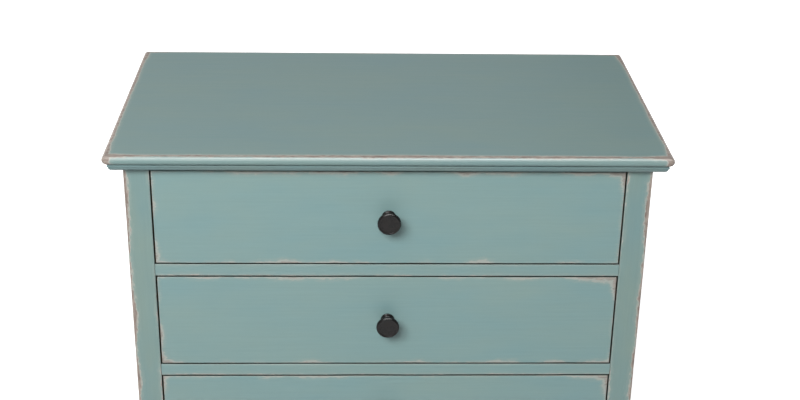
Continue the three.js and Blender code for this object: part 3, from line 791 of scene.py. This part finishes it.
def make_top():
    """Rings of one plan outline, each drawn in by the nosing's profile at its height."""
    low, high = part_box("top_panel")
    radius = (high.z - low.z) / 2
    middle = (high.z + low.z) / 2
    seed = seed_of("top")

    def back_inset(z):
        """The back is square, with two small arrises."""
        over = abs(z - middle) - (radius - TOP_BACK_ARRIS)
        if over <= 0:
            return 0.0
        return TOP_BACK_ARRIS - math.sqrt(max(0.0, TOP_BACK_ARRIS**2 - over**2))

    def ring(inset, rear):
        """The plan outline, counter-clockwise, with each point's outward direction. It is drawn
        in by inset at the front and the ends, and by rear at the back."""
        x0, x1, y0, y1 = low.x + inset, high.x - inset, low.y + inset, high.y - rear
        front_corner = max(TOP_CORNER - inset * 0.6, TOP_LEAST_CORNER)
        corners = ((x0, y0, 1, 1, front_corner), (x1, y0, -1, 1, front_corner),
                   (x1, y1, -1, -1, TOP_BACK_CORNER), (x0, y1, 1, -1, TOP_BACK_CORNER))
        counts = (round((high.x - low.x) / STATION), round((high.y - low.y) / STATION))
        arcs = []
        for k, (x, y, to_x, to_y, r) in enumerate(corners):
            centre = Vector((x + to_x * r, y + to_y * r))
            arc = []
            for t in range(TOP_CORNER_STEPS + 1):
                angle = math.pi * (1.0 + k / 2 + t / TOP_CORNER_STEPS / 2)
                out = Vector((math.cos(angle), math.sin(angle)))
                arc.append((centre + r * out, out))
            arcs.append(arc)
        found = []
        for k in range(4):
            found += arcs[k]
            a, b = arcs[k][-1], arcs[(k + 1) % 4][0]
            for i in range(1, counts[k % 2]):
                t = i / counts[k % 2]
                found.append((a[0].lerp(b[0], t), a[1]))
        return found

    shoulder = [p for p, _ in ring(radius, TOP_BACK_ARRIS)]
    points, point_uv = [], []
    for i in range(NOSE_STEPS + 1):
        angle = math.pi * (i / NOSE_STEPS - 0.5)
        z = middle + radius * math.sin(angle)
        arc = radius * (math.pi / 2 - angle)
        outline = ring(radius * (1 - math.cos(angle)), back_inset(z))
        for (p, out), flat in zip(outline, shoulder):
            spot = Vector((p.x * TOP_DENTS_PER_METRE, p.y * TOP_DENTS_PER_METRE, seed))
            p = p - out * max(0.0, TOP_DENT * noise.noise(spot)) * math.cos(angle)
            points.append((p.x, p.y, z))
            point_uv.append((flat.x - low.x - radius + out.x * arc,
                             flat.y - low.y - radius + out.y * arc))
    count = len(shoulder)
    size = (high.x - low.x - 2 * radius, high.y - low.y - radius - TOP_BACK_ARRIS)
    faces = []
    for i in range(NOSE_STEPS):
        for j in range(count):
            after = (j + 1) % count
            faces.append((i * count + j, i * count + after,
                          (i + 1) * count + after, (i + 1) * count + j))
    last = NOSE_STEPS * count
    faces.append(tuple(range(count - 1, -1, -1)))
    faces.append(tuple(last + j for j in range(count)))
    corners = [v for face in faces for v in face]
    maps = {
        "plank": [point_uv[v] for v in corners],
        "size": [size for _ in corners],
        "grain": [(point_uv[v][0] + seed, point_uv[v][1] + seed) for v in corners],
    }
    piece = mesh_object("top_panel_look", points, faces, maps, [top_paint])
    stands_for(piece, "top_panel")


def cornice_outline():
    """(reach, height): a quarter round under a fillet with eased edges."""
    low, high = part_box("cornice_front")
    height = high.z - low.z
    reach = FRONT_Y - SEAM - low.y
    across = reach - FILLET_STEP - CORNICE_FOOT
    outline = [(0, 0)]
    for i in range(OVOLO_STEPS + 1):
        a = math.pi / 2 * i / OVOLO_STEPS
        outline.append((CORNICE_FOOT + across * math.sin(a), OVOLO_TOP * (1 - math.cos(a))))
    outline.append((reach - FILLET_ARRIS, OVOLO_TOP))
    outline.append((reach, OVOLO_TOP + FILLET_ARRIS))
    outline.append((reach, height - FILLET_ARRIS))
    outline.append((reach - FILLET_ARRIS, height))
    outline.append((0, height))
    return outline


def make_cornice():
    """Three strips that meet in mitres at the front corners."""
    outline = cornice_outline()
    half = -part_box("cornice_left")[1].x
    front = FRONT_Y - SEAM
    back = rear_high.y
    mitre_gap = SEAM / 2  # on either side of a mitre

    def along_front(t, reach, height):
        x = half + reach - mitre_gap
        return (-x + 2 * x * t, front - reach, CORNICE_BOTTOM + height)

    piece = swept("cornice_front_look", outline, along_front, CORNICE_FRONT_STEPS,
                  [cornice_paint_with_shade])
    stands_for(piece, "cornice_front")
    for side in SIDES:
        outward = 1 if side == "right" else -1

        def along_side(t, reach, height):
            start = front - reach + mitre_gap
            if side == "left":
                t = 1 - t  # so that its faces too are turned outwards
            return (outward * (half + reach), start + (back - start) * t, CORNICE_BOTTOM + height)

        piece = swept(f"cornice_{side}_look", outline, along_side, CORNICE_SIDE_STEPS,
                      [cornice_paint_with_shade])
        stands_for(piece, f"cornice_{side}")


def make_drawer_front(node):
    """A board, cut to the CAD front's joints, groove and screw hole."""
    low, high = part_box(node)
    clear = JOINT_CLEARANCE
    spans = (low.y + clear, high.y - clear, low.z + clear, high.z - clear)
    places = stations(low.x + clear, high.x - clear, spans)

    # Slot 2, the dark painted shade of the gaps, goes on the faces that turn away into the gaps;
    # slot 1, bare wood, on the back.
    def layer(face):
        if face.center.y > high.y - 2 * clear:
            return 1
        return 2 if abs(face.normal.y) < TURNED_AWAY else 0

    piece = board(f"{node}_look", 0, places, [front_paint, drawer_wood_x, gap_shade],
                  end_radius=FRONT_END_ARRIS, arris=FRONT_ARRIS, face_material=layer)
    cutter = frame["nodes"][node]
    cutter.data.materials.clear()
    cutter.data.materials.append(drawer_wood_x)
    cut = piece.modifiers.new("joints", "BOOLEAN")
    cut.operation = "INTERSECT"
    cut.solver = "EXACT"
    cut.object = cutter
    cut.material_mode = "TRANSFER"
    bpy.context.view_layer.objects.active = piece
    with bpy.context.temp_override(object=piece, active_object=piece):
        bpy.ops.object.modifier_move_to_index(modifier="joints", index=0)
        bpy.ops.object.modifier_apply(modifier="joints")
    stands_for(piece, node)


def make_knob(n):
    node = f"drawer_{n}_knob"
    low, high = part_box(node)
    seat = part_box(f"drawer_{n}_front")[0].y
    centre = ((low.x + high.x) / 2, seat, (low.z + high.z) / 2)
    profile = [(r * MM, out * MM) for r, out in smooth_profile(KNOB_KNOTS, KNOB_STEPS)]
    piece = turned(f"{node}_look", profile, centre, KNOB_SIDES, [knob_metal])
    stands_for(piece, node)


def make_drawer(n):
    name = f"drawer_{n}"
    make_drawer_front(f"{name}_front")
    for side in SIDES:
        keep_cad(f"{name}_side_{side}", drawer_wood_y)
    keep_cad(f"{name}_back", drawer_wood_x)
    keep_cad(f"{name}_bottom", plywood_x, PLYWOOD_ARRIS)
    keep_cad(f"{name}_knob_screw", screw_steel, SCREW_ARRIS)
    make_knob(n)


def make_inner_case():
    for n in DRAWERS:
        for side in SIDES:
            keep_cad(f"runner_{n}_{side}", frame_wood_y)
    for side in SIDES:
        keep_cad(f"kicker_{side}", frame_wood_y)
    for name in ("top", "bottom"):
        keep_cad(f"rear_rail_{name}", frame_wood_x)
    keep_cad("back_panel", plywood_x, PLYWOOD_ARRIS)


# ---- Studio ----

def make_floor():
    """Near white, and hidden from the pieces' diffuse light. It glows a little, and more where
    the key light no longer reaches it."""
    nodes = Nodes("studio floor")
    away = nodes.add("ShaderNodeVectorMath", {0: nodes.place()}, operation="LENGTH")
    glow = nodes.ramp(away.outputs["Value"], GLOW_FROM, GLOW_TO, NEAR_GLOW, FAR_GLOW)
    nodes.surface(Base_Color=(0.9, 0.9, 0.9, 1), Roughness=0.9, Emission_Color=(1, 1, 1, 1),
                  Emission_Strength=glow)
    mesh = bpy.data.meshes.new("floor")
    corners = [(x * FLOOR_HALF, y * FLOOR_HALF, 0) for x, y in ((-1, -1), (1, -1), (1, 1), (-1, 1))]
    mesh.from_pydata(corners, [], [(0, 1, 2, 3)])
    mesh.materials.append(nodes.material)
    floor = bpy.data.objects.new("floor", mesh)
    bpy.context.scene.collection.objects.link(floor)
    floor.visible_diffuse = False


def make_world():
    """White to the camera, and a dim even light to everything else."""
    world = bpy.data.worlds.new("studio")
    world.use_nodes = True
    tree = world.node_tree
    tree.nodes.clear()
    seen = tree.nodes.new("ShaderNodeLightPath").outputs["Is Camera Ray"]
    strength = tree.nodes.new("ShaderNodeMapRange")
    strength.inputs["To Min"].default_value = AMBIENT
    strength.inputs["To Max"].default_value = 1.0
    tree.links.new(seen, strength.inputs["Value"])
    background = tree.nodes.new("ShaderNodeBackground")
    background.inputs["Color"].default_value = (1, 1, 1, 1)
    tree.links.new(strength.outputs[0], background.inputs["Strength"])
    output = tree.nodes.new("ShaderNodeOutputWorld")
    tree.links.new(background.outputs[0], output.inputs["Surface"])
    bpy.context.scene.world = world


def area_light(name, place, size, power, gloss_only=False):
    """A soft box that the camera doesn't see. gloss_only shows in reflections and lights
    nothing else."""
    data = bpy.data.lights.new(name, "AREA")
    data.shape = "RECTANGLE"
    data.size, data.size_y = size
    data.energy = power
    lamp = bpy.data.objects.new(name, data)
    lamp.location = place
    aim = LIGHT_AIM - Vector(place)
    lamp.rotation_euler = aim.to_track_quat("-Z", "Y").to_euler()
    lamp.visible_camera = False
    lamp.visible_diffuse = not gloss_only
    bpy.context.scene.collection.objects.link(lamp)


def make_lights():
    area_light("key", (-1.1, -3.0, 2.9), (2.0, 1.2), 125)
    area_light("overhead", (0, -0.6, 3.2), (3.0, 1.0), 180, gloss_only=True)
    area_light("backdrop", (-0.6, 3.2, 1.9), (3.0, 2.0), 8, gloss_only=True)
    area_light("rear left", (-2.6, 2.4, 1.2), (1.5, 1.5), 50)
    area_light("rear right", (2.6, 2.4, 1.2), (1.5, 1.5), 50)


def make_camera():
    data = bpy.data.cameras.new("camera")
    data.sensor_width = SENSOR
    data.lens = FOCAL_WIDTHS * SENSOR
    camera = bpy.data.objects.new("camera", data)
    forward = Vector((math.sin(CAMERA_YAW) * math.cos(CAMERA_PITCH),
                      math.cos(CAMERA_YAW) * math.cos(CAMERA_PITCH), -math.sin(CAMERA_PITCH)))
    right = Vector((math.cos(CAMERA_YAW), -math.sin(CAMERA_YAW), 0))
    down = forward.cross(right)
    turned_right = math.cos(CAMERA_ROLL) * right + math.sin(CAMERA_ROLL) * down
    turned_down = math.cos(CAMERA_ROLL) * down - math.sin(CAMERA_ROLL) * right
    axes = Matrix((turned_right, -turned_down, -forward)).transposed()
    place = CAMERA_FROM_FRONT + Vector((0, FRONT_Y, CORNICE_BOTTOM))
    camera.matrix_world = Matrix.Translation(place) @ axes.to_4x4()
    bpy.context.scene.collection.objects.link(camera)
    bpy.context.scene.camera = camera


make_camera()
make_floor()
make_world()
make_lights()
make_top()
make_cornice()
make_posts()
make_front_rails()
make_side_frames()
make_aprons()
make_inner_case()
for drawer in DRAWERS:
    make_drawer(drawer)
bpy.context.scene.view_settings.view_transform = "Standard"
